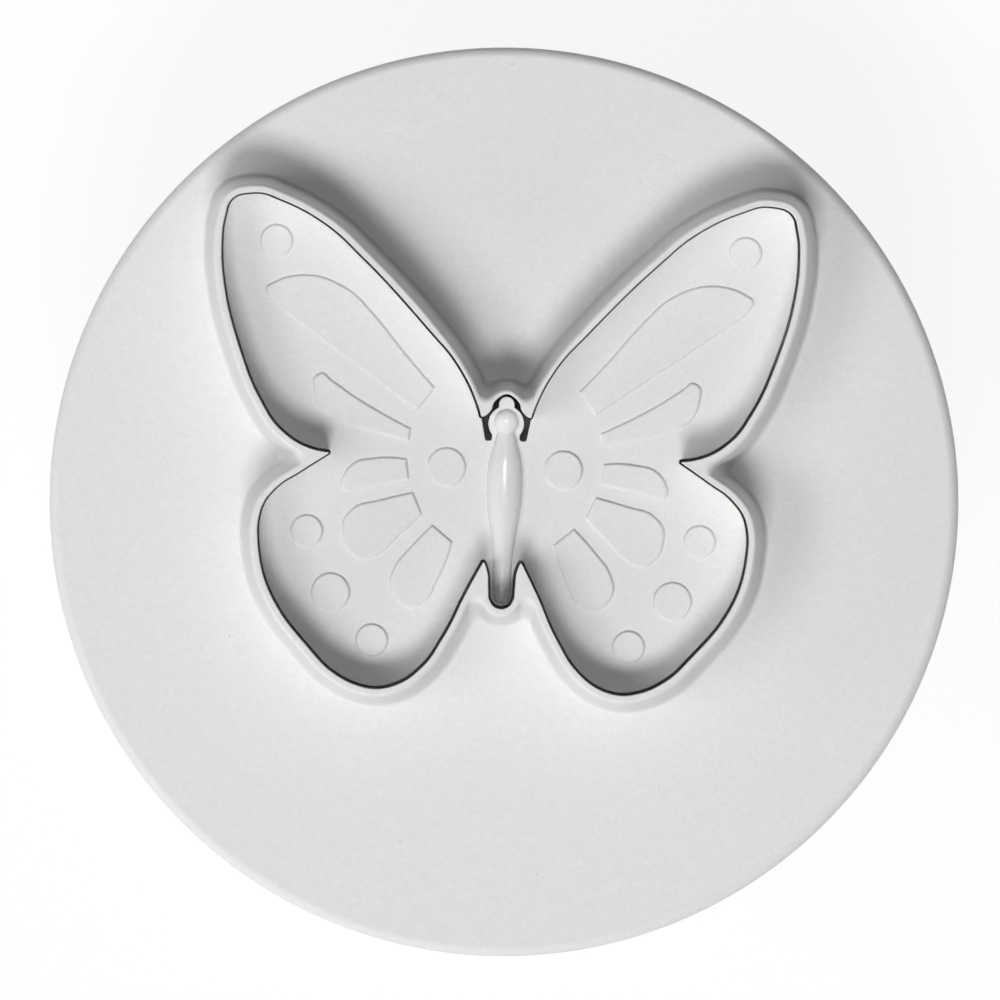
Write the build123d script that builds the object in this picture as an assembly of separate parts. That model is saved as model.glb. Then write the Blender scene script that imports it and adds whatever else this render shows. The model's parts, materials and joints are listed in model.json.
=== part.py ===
from build123d import *
from math import atan, ceil, cos, degrees, pi, sin, sqrt
import os

# Plunger cutter for sugar paste: a round press disc with a butterfly cutting wall on its face, and an
# embossing plate inside the wall, which a spring draws back and a push knob drives out.
#
# Frame: millimetres. The cutter stands on its push knob, and +Z points from the knob to the cutting
# edge. The origin is on the stem's axis, in the plane of the knob's standing face. +Y points from the
# butterfly's tail to its head, and +X to its right wings.

# Push knob
knob_radius = 17.0
knob_thickness = 4.5
knob_edge_radius = 1.8
hub_radius = 7.6
hub_height = 4.0
hub_root_bevel = 1.0
hub_rim_bevel = 0.4
hub_post_radius = 4.6
socket_depth = 5.5

# Return spring
wire_radius = 0.4
coil_radius = 5.35
end_pitch = 1.3
end_turns = 1
active_turns = 3
spring_seat_clearance = 0.05
spring_side_clearance = 0.35
knob_pocket_depth = 2.5
tube_pocket_depth = 8.0

# Stem of the plunger
stem_radius = 3.8
stem_rib_thickness = 1.8
spigot_radius = 3.0
spigot_side_clearance = 0.05
spigot_end_clearance = 0.2

# Guide tube and press disc
tube_radius = 8.0
tube_length = 24.0
tube_rim_bevel = 0.4
tube_root_bevel = 2.5
guide_clearance = 0.1
disc_radius = 44.8
disc_thickness = 2.4
disc_edge_radius = 1.0
disc_back_edge_bevel = 0.5

# Butterfly cavity: half its span, its reach above and below the waist line between the wings, and how
# far that line lies above the stem's axis
half_span = 28.5
wing_rise = 24.7
wing_drop = 23.85
waist_offset = 5.1

# Cutting wall round the cavity, from its flat lip down to its wider foot on the disc
wall_height = 8.5
lip_width = 0.75
wall_foot_width = 1.6

# Embossing plate, and how it works in the cavity
plate_thickness = 2.8
plate_clearance = 0.25
push_out = 0.3
stop_clearance = 0.3

# Raised wing pads
pad_height = 0.35
pad_bevel = 0.2
dot_radius = 1.7
large_dot_radius = 2.0

# Head and body on the plate, from the waist line
lobe_radius = 1.76
lobe_rise = 2.6
ball_radius = 1.22
ball_rise = 2.75
nub_half_width = 0.77
nub_rise = 5.25
neck_half_width = 1.37
slot_half_width = 2.02
slot_bottom = 0.9
slot_corner_radius = 0.25
ridge_half_width = 1.76

# Working heights, from the knob's standing face up
stroke = wall_height - plate_thickness + push_out
hub_top = knob_thickness + hub_height
tube_end = hub_top + stroke + stop_clearance
spring_low = hub_top - knob_pocket_depth
spring_high = tube_end + tube_pocket_depth
disc_back = tube_end + tube_length
disc_face = disc_back + disc_thickness
plate_top = disc_face + plate_thickness

# Radii that fit one piece to another
spring_pocket_radius = coil_radius + wire_radius + spring_side_clearance
guide_radius = stem_radius + guide_clearance
socket_radius = spigot_radius + spigot_side_clearance

# How little an arc may turn before it is drawn as a line, how far it turns for each flat that stands
# for it, along the butterfly, round its raised pads and round a turned piece's edges, and the flats
# round the wire
straight_turn = 1e-4
outline_flat_turn = 0.15
pad_flat_turn = 0.3
edge_flat_turn = 0.8
wire_flats = 6

# Butterfly outlines: shares of half the span across, and of the wings' rise or drop up and down
head_bump_shares = [(0.0, 0.223), (0.026, 0.210), (0.044, 0.188), (0.053, 0.158), (0.079, 0.131)]
wing_root_shares = [(0.086, 0.130), (0.119, 0.232), (0.175, 0.343)]
upper_wing_shares = [
    (0.281, 0.482), (0.491, 0.733), (0.632, 0.876), (0.772, 0.963), (0.890, 1.0),
    (0.966, 0.974), (0.994, 0.885), (1.0, 0.777), (0.982, 0.591), (0.931, 0.385),
    (0.863, 0.196), (0.784, 0.062), (0.708, 0.0), (0.610, -0.029),
]
lower_wing_shares = [
    (0.610, -0.034), (0.702, -0.107), (0.786, -0.177), (0.830, -0.243), (0.848, -0.322),
    (0.846, -0.420), (0.820, -0.562), (0.765, -0.690), (0.672, -0.825), (0.582, -0.932),
    (0.500, -0.984), (0.418, -1.0), (0.337, -0.972), (0.263, -0.901), (0.190, -0.767),
    (0.118, -0.585), (0.067, -0.467),
]
tail_channel_shares = [
    (0.063, -0.465), (0.051, -0.503), (0.046, -0.570), (0.042, -0.617), (0.025, -0.647), (0.0, -0.656),
]

# The wall is a little thinner round the head: its outside follows these instead
thin_head_shares = [(0.0, 0.212), (0.021, 0.201), (0.037, 0.178), (0.046, 0.146), (0.079, 0.126)]
thin_root_shares = [(0.093, 0.126), (0.127, 0.228), (0.183, 0.340)]

# Raised cells of the right wings, each a curve that its straight inner end closes
cell_shares = [
    [(0.307, 0.142), (0.491, 0.291), (0.702, 0.462), (0.781, 0.528), (0.832, 0.577), (0.846, 0.623),
     (0.814, 0.650), (0.695, 0.681), (0.552, 0.624), (0.456, 0.518), (0.351, 0.374), (0.246, 0.241)],
    [(0.332, 0.023), (0.440, 0.050), (0.544, 0.084), (0.645, 0.139), (0.670, 0.211), (0.665, 0.279),
     (0.642, 0.292), (0.604, 0.263), (0.530, 0.205), (0.456, 0.155), (0.325, 0.079)],
    [(0.328, -0.133), (0.456, -0.166), (0.518, -0.184), (0.548, -0.190), (0.566, -0.172),
     (0.560, -0.117), (0.520, -0.063), (0.453, -0.043), (0.337, -0.044)],
    [(0.279, -0.273), (0.351, -0.363), (0.442, -0.457), (0.484, -0.473), (0.534, -0.436),
     (0.560, -0.361), (0.556, -0.302), (0.521, -0.252), (0.421, -0.213), (0.314, -0.180)],
    [(0.171, -0.384), (0.188, -0.457), (0.217, -0.540), (0.260, -0.635), (0.305, -0.665),
     (0.360, -0.637), (0.391, -0.568), (0.377, -0.497), (0.319, -0.405), (0.245, -0.312)],
]
dot_shares = [(0.811, 0.810), (0.679, -0.356), (0.444, -0.799)]
large_dot_shares = [(0.202, -0.076), (0.591, -0.606)]

# Body ridge: shares of its half width, and of the wings' rise or drop
ridge_shares = [
    (0.46, 0.077), (0.68, 0.020), (0.90, -0.042), (1.0, -0.147), (0.92, -0.252),
    (0.71, -0.356), (0.55, -0.461), (0.50, -0.595), (0.36, -0.625), (0.0, -0.636),
]


def up_the_wings(up_share):
    """Y of a share of the wings' rise, or of their drop where it is below the waist line."""
    reach = wing_rise if up_share > 0 else wing_drop
    return waist_offset + up_share * reach


def wing_points(shares):
    return [Vector(across * half_span, up_the_wings(up)) for across, up in shares]


def both_sides(points):
    """A run of points on the right and its mirror image, as one run that crosses the Y axis."""
    left = [Vector(-point.X, point.Y) for point in reversed(points) if point.X > 0]
    return left + points if points[0].X == 0 else points + left


def arc_along(start, way, end):
    """An arc that leaves start along way and ends at end, or a line where it hardly turns."""
    chord = end - start
    if chord.normalized().cross(way).length < straight_turn:
        return Line(start, end)
    return TangentArc(start, end, tangent=way)


def biarc(start, start_way, end, end_way):
    """Two arcs that meet smoothly and run from start to end along the directions given there."""
    chord = end - start
    along = chord.dot(start_way + end_way)
    turn = 2 * (1 - start_way.dot(end_way))
    arm = chord.dot(chord) / (along + sqrt(along * along + turn * chord.dot(chord)))
    start_knee = start + start_way * arm
    end_knee = end - end_way * arm
    middle = (start_knee + end_knee) / 2
    middle_way = (end_knee - start_knee).normalized()
    return [arc_along(start, start_way, middle), arc_along(middle, middle_way, end)]


def biarcs(points, ways):
    """A chain of biarcs through the points, in the directions given at them."""
    edges = []
    for start, start_way, end, end_way in zip(points, ways, points[1:], ways[1:]):
        edges += biarc(start, start_way, end, end_way)
    return edges


def way_between(before, point, after):
    """The direction at a point of the circle through it and its two neighbours."""
    coming = point - before
    going = after - point
    mixed = coming * (going.length / coming.length) + going * (coming.length / going.length)
    return mixed.normalized()


def way_at_end(end, neighbour, neighbour_way):
    """The direction at the end of a run that lets one arc reach its neighbour."""
    chord = (neighbour - end).normalized()
    return chord * (2 * chord.dot(neighbour_way)) - neighbour_way


def smooth_run(points):
    """A smooth curve of arcs through the points."""
    ways = [way_between(*three) for three in zip(points, points[1:], points[2:])]
    first_way = way_at_end(points[0], points[1], ways[0])
    last_way = way_at_end(points[-1], points[-2], ways[-1])
    return biarcs(points, [first_way, *ways, last_way])


def mirrored(shape):
    return mirror(shape, about=Plane.YZ)


def butterfly(head_shares, root_shares):
    """The butterfly that the cutting wall runs round, with five blunt prongs between its runs."""
    head = both_sides(wing_points(head_shares))
    upper = wing_points(root_shares + upper_wing_shares)
    lower = wing_points(lower_wing_shares)
    tail = both_sides(wing_points(tail_channel_shares))
    wing = [
        Line(head[-1], upper[0]),
        *smooth_run(upper),
        Line(upper[-1], lower[0]),
        *smooth_run(lower),
        Line(lower[-1], tail[0]),
    ]
    other_wing = [mirrored(edge) for edge in wing]
    return make_face([*smooth_run(head), *wing, *smooth_run(tail), *other_wing])


def flats(edge, turn_each):
    """A line as it is, and an arc as flats that each stand for so much of its turn."""
    if edge.geom_type == GeomType.LINE:
        return edge
    count = ceil(edge.length / edge.radius / turn_each)
    return Polyline([edge @ (flat / count) for flat in range(count + 1)])


def flattened(face, turn_each):
    """A face with its arcs drawn as flats."""
    return make_face([flats(edge, turn_each) for edge in face.edges()])


def turned(corners):
    """A turned solid, from its corners in order: radius, height, and the rounding or bevel there."""
    outline = Polyline([(across, up) for across, up, rounding, bevel in corners], close=True)
    section = make_face(outline)
    for across, up, rounding, bevel in corners:
        corner = section.vertices().sort_by_distance((across, up))[0]
        if rounding > 0:
            section = fillet(corner, radius=rounding)
        if bevel > 0:
            section = chamfer(corner, length=bevel)
    return revolve(Plane.XZ * flattened(section, edge_flat_turn), axis=Axis.Z)


def cutting_wall(cavity):
    """The wall with its drafted flank and flat lip, open inside."""
    draft = degrees(atan((wall_foot_width - lip_width) / wall_height))
    outer = butterfly(thin_head_shares, thin_root_shares)
    foot = flattened(offset(outer, amount=wall_foot_width, kind=Kind.ARC), outline_flat_turn)
    opening = flattened(cavity, outline_flat_turn)
    outside = extrude(Pos(0, 0, disc_face) * foot, amount=wall_height, taper=draft)
    inside = extrude(Pos(0, 0, disc_face) * opening, amount=wall_height)
    return outside - inside


def cutter_body(cavity):
    """The press disc, the guide tube behind it and the cutting wall on its face."""
    disc_and_tube = turned([
        (guide_radius, disc_face, 0, 0),
        (disc_radius, disc_face, disc_edge_radius, 0),
        (disc_radius, disc_back, 0, disc_back_edge_bevel),
        (tube_radius, disc_back, 0, tube_root_bevel),
        (tube_radius, tube_end, 0, tube_rim_bevel),
        (spring_pocket_radius, tube_end, 0, 0),
        (spring_pocket_radius, spring_high, 0, 0),
        (guide_radius, spring_high, 0, 0),
    ])
    return disc_and_tube + cutting_wall(cavity)


def push_knob():
    """A flange to push on, and a hub with the spring's pocket and the stem's socket."""
    socket_end = hub_top - socket_depth
    return turned([
        (0, 0, 0, 0),
        (knob_radius, 0, knob_edge_radius, 0),
        (knob_radius, knob_thickness, knob_edge_radius, 0),
        (hub_radius, knob_thickness, 0, hub_root_bevel),
        (hub_radius, hub_top, 0, hub_rim_bevel),
        (spring_pocket_radius, hub_top, 0, 0),
        (spring_pocket_radius, spring_low, 0, 0),
        (hub_post_radius, spring_low, 0, 0),
        (hub_post_radius, hub_top, 0, 0),
        (socket_radius, hub_top, 0, 0),
        (socket_radius, socket_end, 0, 0),
        (0, socket_end, 0, 0),
    ])


def stem():
    """The cross-ribbed stem behind the plate, with the round spigot that carries the knob."""
    rib = Rectangle(2 * stem_radius, stem_rib_thickness)
    cross = Circle(stem_radius) & (rib + Rot(0, 0, 90) * rib)
    spigot_end = hub_top - socket_depth + spigot_end_clearance
    ribs = extrude(Pos(0, 0, hub_top) * cross, amount=disc_face - hub_top)
    spigot = extrude(Pos(0, 0, spigot_end) * Circle(spigot_radius), amount=hub_top - spigot_end)
    return ribs + spigot


def head_window():
    """The opening in the plate round the head, down to the two slots beside it."""
    prong = wing_points(wing_root_shares)[0]
    top = waist_offset + 2 * nub_rise
    bottom = waist_offset + slot_bottom
    right = [Vector(prong.X, top), prong, Vector(slot_half_width, bottom)]
    return make_face(Polyline(both_sides(right), close=True))


def head_flat():
    """The flat head with its neck and nub, which stand in the window."""
    lobe = Pos(0, lobe_rise) * Circle(lobe_radius)
    nub_centre = nub_rise - nub_half_width
    nub = Pos(0, nub_centre) * Circle(nub_half_width)
    nub_root = Pos(0, (lobe_rise + nub_centre) / 2) * Rectangle(
        2 * nub_half_width, nub_centre - lobe_rise)
    neck = Pos(0, slot_bottom) * Rectangle(2 * neck_half_width, lobe_rise - slot_bottom)
    return Pos(0, waist_offset) * (lobe + nub + nub_root + neck)


def raised(outline):
    """A low pad with sloping sides on top of the plate."""
    slope = degrees(atan(pad_bevel / pad_height))
    return extrude(Pos(0, 0, plate_top) * outline, amount=pad_height, taper=slope)


def wing_pads():
    """The raised cells and dots of the right wings."""
    outlines = []
    for shares in cell_shares:
        points = wing_points(shares)
        outlines.append(make_face([*smooth_run(points), Line(points[-1], points[0])]))
    for place in wing_points(dot_shares):
        outlines.append(Pos(place) * Circle(dot_radius))
    for place in wing_points(large_dot_shares):
        outlines.append(Pos(place) * Circle(large_dot_radius))
    return [raised(flattened(outline, pad_flat_turn)) for outline in outlines]


def body_ridge():
    """The round body from neck to tail, sunk to its middle in the plate."""
    side = [Vector(width * ridge_half_width, up_the_wings(up)) for width, up in ridge_shares]
    neck_middle = Vector(0, side[0].Y)
    half = make_face(Polyline([*side, neck_middle], close=True))
    return Pos(0, 0, plate_top) * revolve(half, axis=Axis.Y)


def embosser_plunger(cavity):
    """The butterfly plate with all that is raised on it, and the stem behind it, in one moulding."""
    room = offset(cavity, amount=-plate_clearance, kind=Kind.ARC)
    outline = room - head_window() + (head_flat() & room)
    slot_corners = [
        outline.vertices().sort_by_distance((across, waist_offset + slot_bottom))[0]
        for across in (-slot_half_width, -neck_half_width, neck_half_width, slot_half_width)
    ]
    outline = flattened(fillet(slot_corners, radius=slot_corner_radius), outline_flat_turn)
    plate = extrude(Pos(0, 0, disc_face) * outline, amount=plate_thickness)
    ball = Pos(0, waist_offset + ball_rise, plate_top) * Sphere(ball_radius)
    pads = wing_pads()
    other_pads = [mirrored(pad) for pad in pads]
    return plate + [stem(), body_ridge(), ball, *pads, *other_pads]


def coil_height(turn, active_pitch):
    """How far the wire has climbed after so many turns, between close end turns."""
    open_turns = min(max(turn - end_turns, 0), active_turns)
    return (turn - open_turns) * end_pitch + open_turns * active_pitch


def return_spring():
    """The spring at its fitted length, one wire swept along quarter turns of a helix."""
    turns = 2 * end_turns + active_turns
    first_height = spring_low + spring_seat_clearance + wire_radius
    last_height = spring_high - spring_seat_clearance - wire_radius
    climb = last_height - first_height
    active_pitch = (climb - 2 * end_turns * end_pitch) / active_turns

    def wire_point(turn):
        angle = 2 * pi * turn
        height = first_height + coil_height(turn, active_pitch)
        return Vector(coil_radius * cos(angle), coil_radius * sin(angle), height)

    def wire_way(turn):
        angle = 2 * pi * turn
        rise = coil_height(turn + 1 / 8, active_pitch) - coil_height(turn - 1 / 8, active_pitch)
        run = 2 * pi * coil_radius / 4
        return Vector(-run * sin(angle), run * cos(angle), rise).normalized()

    quarters = [quarter / 4 for quarter in range(4 * turns + 1)]
    path = Wire(biarcs([wire_point(turn) for turn in quarters], [wire_way(turn) for turn in quarters]))
    wire_end = Plane(origin=wire_point(0), z_dir=wire_way(0))
    print_least_gap(path, turns)
    return sweep(wire_end * RegularPolygon(wire_radius, wire_flats), path=path)


def print_least_gap(path, turns):
    """Measures on points how near the wire comes to its own next turn."""
    steps = 16 * turns
    places = [path.position_at(step / steps) for step in range(steps + 1)]
    gaps = [
        (places[one] - places[other]).length - 2 * wire_radius
        for one in range(steps + 1) for other in range(one + 12, steps + 1)
    ]
    print("return_spring: least gap to itself", round(min(gaps), 3), "mm")


def main():
    os.makedirs("parts", exist_ok=True)
    cavity = butterfly(head_bump_shares, wing_root_shares)
    pieces = {
        "cutter_body": cutter_body(cavity),
        "embosser_plunger": embosser_plunger(cavity),
        "return_spring": return_spring(),
        "push_knob": push_knob(),
    }
    for name, piece in pieces.items():
        export_step(piece, f"parts/{name}.step")


if __name__ == "__main__":
    main()
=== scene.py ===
import bpy
import bmesh
import json
import math
import numpy as np
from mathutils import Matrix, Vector
from mathutils.geometry import delaunay_2d_cdt

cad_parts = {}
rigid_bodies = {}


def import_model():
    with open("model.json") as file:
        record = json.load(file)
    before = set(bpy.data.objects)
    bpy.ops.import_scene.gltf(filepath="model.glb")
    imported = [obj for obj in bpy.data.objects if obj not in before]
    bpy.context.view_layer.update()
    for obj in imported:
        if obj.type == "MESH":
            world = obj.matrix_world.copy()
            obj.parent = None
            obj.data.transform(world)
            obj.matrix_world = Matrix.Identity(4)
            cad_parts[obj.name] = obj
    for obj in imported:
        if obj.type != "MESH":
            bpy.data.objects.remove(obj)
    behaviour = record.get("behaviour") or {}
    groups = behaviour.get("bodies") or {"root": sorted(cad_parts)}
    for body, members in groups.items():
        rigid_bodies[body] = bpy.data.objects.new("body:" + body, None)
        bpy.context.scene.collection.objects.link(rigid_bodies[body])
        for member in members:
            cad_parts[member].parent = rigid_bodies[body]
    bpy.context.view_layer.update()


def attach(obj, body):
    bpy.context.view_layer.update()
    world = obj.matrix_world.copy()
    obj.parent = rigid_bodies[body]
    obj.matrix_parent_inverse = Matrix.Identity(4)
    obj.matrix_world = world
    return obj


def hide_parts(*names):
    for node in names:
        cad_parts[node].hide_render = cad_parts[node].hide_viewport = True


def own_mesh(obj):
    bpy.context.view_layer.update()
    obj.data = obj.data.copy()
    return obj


# Looks of the plunger cutter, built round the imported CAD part. Metres, in the part's own frame.

for thing in list(bpy.data.objects):
    bpy.data.objects.remove(thing)
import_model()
MM = 0.001

# Heights in millimetres, from the standing face of the knob
SPRING_LOW = 6.0
SPRING_HIGH = 22.8
DISC_BACK = 38.8
DISC_FACE = 41.2
PLATE_TOP = 44.0
CUTTING_EDGE = 49.7

# Sizes in millimetres, as in the CAD part
HUB_TOP = 8.5
TUBE_END = 14.8
SPIGOT_END = 3.2
SOCKET_END = 3.0
KNOB_RADIUS = 17.0
KNOB_THICKNESS = 4.5
HUB_RADIUS = 7.6
HUB_POST_RADIUS = 4.6
SOCKET_RADIUS = 3.05
POCKET_RADIUS = 6.1
SPIGOT_RADIUS = 3.0
STEM_RADIUS = 3.8
RIB_THICKNESS = 1.8
BORE_RADIUS = 3.9
TUBE_RADIUS = 8.0
DISC_RADIUS = 44.8
RIM_ROUNDING = 1.0
HALF_SPAN = 28.5
WING_RISE = 24.7
WING_DROP = 23.85
WAIST = 5.1
SLOT_HALF_WIDTH = 2.02
SLOT_BOTTOM = 0.9
SLOT_ROUNDING = 0.25
NECK_HALF_WIDTH = 1.37
LOBE_RADIUS = 1.76
LOBE_RISE = 2.6
NUB_HALF_WIDTH = 0.77
NUB_RISE = 5.25
BALL_RADIUS = 1.22
BALL_RISE = 2.75
RIDGE_HALF_WIDTH = 1.76
DOT_RADIUS = 1.7
LARGE_DOT_RADIUS = 2.0

# Roundings in millimetres, and the flat ring of mesh inside the rim's rounding
TUBE_ROOT_ROUNDING = 2.5
TUBE_RIM_ROUNDING = 0.4
POCKET_MOUTH_ROUNDING = 0.25
DISC_BACK_ROUNDING = 0.5
KNOB_ROUNDING = 1.8
HUB_ROOT_ROUNDING = 1.0
HUB_RIM_ROUNDING = 0.4
HUB_INNER_ROUNDING = 0.15
SOCKET_MOUTH_ROUNDING = 0.1
SPIGOT_ROUNDING = 0.3
RIM_RING = 0.1

# A height above the butterfly's head, and how tightly the ridge and the ball of the head blend
WINDOW_TOP = 20.0
RIDGE_BLEND = 10

# How far the plate lies from the wall, and how its play has let it settle to one side
PLATE_PLAY = 0.2
PLATE_SHIFT = (-0.05, 0.07)

# How finely outlines and turned pieces are drawn: millimetres, radians and counts
OUTLINE_STEP = 0.35
OUTLINE_TURN = 0.1
PROFILE_TURN = 0.16
LEAST_STEP = 0.02
TURNED_SEGMENTS = 256
KNOB_SEGMENTS = 192
SPIGOT_SEGMENTS = 96
DOT_SEGMENTS = 56
LOBE_STEPS = 24
NUB_STEPS = 12
RIB_END_STEPS = 8
RIDGE_ROWS = 150
RIDGE_COLUMNS = 28

# Limits of the work on outlines: the least turn of an arc, how near two points or directions count as the
# same, how sharp a corner may be to be mitred, how far a moved point may stray, and how far two ends may meet
STRAIGHT_TURN = 1e-4
SAME_PLACE = 1e-6
PARALLEL = 1e-9
HAIRPIN = 0.3
OFFSET_SLACK = 1e-3
FARTHEST_CORNER = 0.6
POINTS_AT_ONCE = 2000

# Limits of the work on meshes: millimetres, degrees between faces that meet in a sharp edge, and how far
# up the normal of a level face and of a rounding that starts from one has to point
MESH_SNAP = 1e-4
WELD_DISTANCE = 0.0005
LEAST_EDGE = 0.0002
SHARP_FROM = 50
LEVEL = 0.99999
STEEPEST_ROUNDING = 0.5

# Edges: distance from the outline, then the drop from the edge's top. The wall's profile gives heights
# in place of drops, and the pads' profile gives rises over the plate.
LIP_INNER_EDGE = ((0.0, 0.10), (0.03, 0.03), (0.09, 0.0))
WALL_PROFILE = (
    (0.42, CUTTING_EDGE), (0.52, 49.68), (0.61, 49.62), (0.69, 49.52), (0.76, 49.38), (0.815, 49.20),
    (0.86, 48.94), (0.90, 48.55), (0.94, 48.05), (0.98, 47.5), (1.03, 46.8), (1.09, 46.0), (1.17, 45.2),
    (1.25, 44.4), (1.33, 43.6), (1.41, 42.85), (1.48, 42.3), (1.55, 41.88), (1.64, 41.55), (1.75, 41.33),
    (1.87, 41.23), (2.00, DISC_FACE),
)
PLATE_EDGE = ((0.0, 0.10), (0.03, 0.03), (0.08, 0.0))
PAD_PROFILE = (
    (0.0, 0.0), (0.05, 0.03), (0.10, 0.10), (0.16, 0.20), (0.21, 0.28), (0.27, 0.325), (0.35, 0.335),
)

# Radius in the valleys of the wall's foot, and the body ridge's height as a share of its half width
VALLEY_ROUNDING = 0.85
RIDGE_FLATNESS = 0.75

# Butterfly outlines: shares of half the span across, and of the wings' rise or drop from the waist
HEAD_BUMP = [(0.0, 0.223), (0.026, 0.210), (0.044, 0.188), (0.053, 0.158), (0.079, 0.131)]
WING_ROOT = [(0.086, 0.130), (0.119, 0.232), (0.175, 0.343)]
THIN_HEAD = [(0.0, 0.212), (0.021, 0.201), (0.037, 0.178), (0.046, 0.146), (0.079, 0.126)]
THIN_ROOT = [(0.093, 0.126), (0.127, 0.228), (0.183, 0.340)]
UPPER_WING = [
    (0.281, 0.482), (0.491, 0.733), (0.632, 0.876), (0.772, 0.963), (0.890, 1.0),
    (0.966, 0.974), (0.994, 0.885), (1.0, 0.777), (0.982, 0.591), (0.931, 0.385),
    (0.863, 0.196), (0.784, 0.062), (0.708, 0.0), (0.610, -0.029),
]
LOWER_WING = [
    (0.610, -0.034), (0.702, -0.107), (0.786, -0.177), (0.830, -0.243), (0.848, -0.322),
    (0.846, -0.420), (0.820, -0.562), (0.765, -0.690), (0.672, -0.825), (0.582, -0.932),
    (0.500, -0.984), (0.418, -1.0), (0.337, -0.972), (0.263, -0.901), (0.190, -0.767),
    (0.118, -0.585), (0.067, -0.467),
]
TAIL_CHANNEL = [
    (0.063, -0.465), (0.051, -0.503), (0.046, -0.570), (0.042, -0.617), (0.025, -0.647), (0.0, -0.656),
]

# Raised cells of the right wings, each a curve that its straight inner end closes, and the dots
CELLS = [
    [(0.307, 0.142), (0.491, 0.291), (0.702, 0.462), (0.781, 0.528), (0.832, 0.577), (0.846, 0.623),
     (0.814, 0.650), (0.695, 0.681), (0.552, 0.624), (0.456, 0.518), (0.351, 0.374), (0.246, 0.241)],
    [(0.332, 0.023), (0.440, 0.050), (0.544, 0.084), (0.645, 0.139), (0.670, 0.211), (0.665, 0.279),
     (0.642, 0.292), (0.604, 0.263), (0.530, 0.205), (0.456, 0.155), (0.325, 0.079)],
    [(0.328, -0.133), (0.456, -0.166), (0.518, -0.184), (0.548, -0.190), (0.566, -0.172),
     (0.560, -0.117), (0.520, -0.063), (0.453, -0.043), (0.337, -0.044)],
    [(0.279, -0.273), (0.351, -0.363), (0.442, -0.457), (0.484, -0.473), (0.534, -0.436),
     (0.560, -0.361), (0.556, -0.302), (0.521, -0.252), (0.421, -0.213), (0.314, -0.180)],
    [(0.171, -0.384), (0.188, -0.457), (0.217, -0.540), (0.260, -0.635), (0.305, -0.665),
     (0.360, -0.637), (0.391, -0.568), (0.377, -0.497), (0.319, -0.405), (0.245, -0.312)],
]
DOTS = [(0.811, 0.810), (0.679, -0.356), (0.444, -0.799)]
LARGE_DOTS = [(0.202, -0.076), (0.591, -0.606)]

# Body ridge: shares of its half width, and of the wings' rise or drop
RIDGE = [
    (0.46, 0.077), (0.68, 0.020), (0.90, -0.042), (1.0, -0.147), (0.92, -0.252),
    (0.71, -0.356), (0.55, -0.461), (0.51, -0.562), (0.49, -0.598), (0.36, -0.625), (0.0, -0.636),
]

# Colours
DISC_WHITE = (0.755, 0.755, 0.751)
PLATE_WHITE = (0.735, 0.735, 0.728)
# Painted shade: the dark colour put on the gap round the plate and on the floor under the head's slots
GAP_PAINTED_SHADE = (0.13, 0.125, 0.115)
STEEL = (0.62, 0.63, 0.64)
FLOOR_WHITE = (0.9, 0.9, 0.9)

# Round marks on the disc's face (place, radius, depth) and specks (place, radius), in millimetres
RINGS = (
    (-12.3, 33.4, 2.75, 0.03), (14.3, 33.0, 1.8, 0.03), (19.0, -27.0, 2.95, 0.03),
    (31.9, 2.8, 1.95, 0.03), (-31.0, 4.0, 2.45, 0.03),
)
SPECKS = (
    (-0.4, 43.1, 0.16), (-26.7, -14.0, 0.14), (-9.3, -33.8, 0.14), (4.3, -36.6, 0.14),
    (-23.7, -20.3, 0.12), (32.2, -33.4, 0.13), (4.3, 33.9, 0.12),
)
RING_WIDTH = 0.14
SPECK_TONE = (0.35, 0.33, 0.30)
SPECK_SHARE = 0.35

# Where painted shade darkens the gap round the plate and the disc's floor under the head's slots, in
# millimetres
GAP_FADE = (PLATE_TOP - 1.2, PLATE_TOP - 0.1)
GAP_FOOT = (DISC_FACE + 0.02, DISC_FACE + 0.06)
UPRIGHT_LEAN = (0.02, 0.05)
SLOT_FLOOR_MIDDLE = 8.0
SLOT_FLOOR_ACROSS = (2.7, 2.8)
SLOT_FLOOR_UP = (2.5, 2.6)
SLOT_FLOOR_LEVEL = (0.05, 0.1)

# Lamps: azimuth from +X towards +Y, elevation, size across and up in metres, strength, and whether gloss
# and matt surfaces show it. A strength of 1 lights a white face turned to the lamp about as white as it is.
LAMP_DISTANCE = 3.0
LAMPS = {
    "key": (266, 61, 1.0, 0.8, 0.645, False, True),
    "side": (206, 51, 1.8, 1.0, 0.31, False, True),
    "low": (188, 16, 1.2, 0.5, 0.12, False, True),
    "front": (93, 81, 0.45, 0.7, 0.33, True, False),
}
AMBIENT = 0.095

# The floor lies a little under the knob, so that the two don't share a plane
FLOOR_GAP = 0.02
FLOOR_HALF_WIDTH = 20.0

# The camera, in metres: how far above the cutting edge, how wide its frame is there, and how it is turned
CAMERA_DISTANCE = 4.0
FRAME_WIDTH = 0.098361
CAMERA_PLACE = (-0.0004035, 0.0001687)
CAMERA_TURN = 1.6
SENSOR_WIDTH = 36.0


# ---------------------------------------------------------------- node helpers

def new_material(name):
    material = bpy.data.materials.new(name)
    material.use_nodes = True
    material.node_tree.nodes.clear()
    return material


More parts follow.
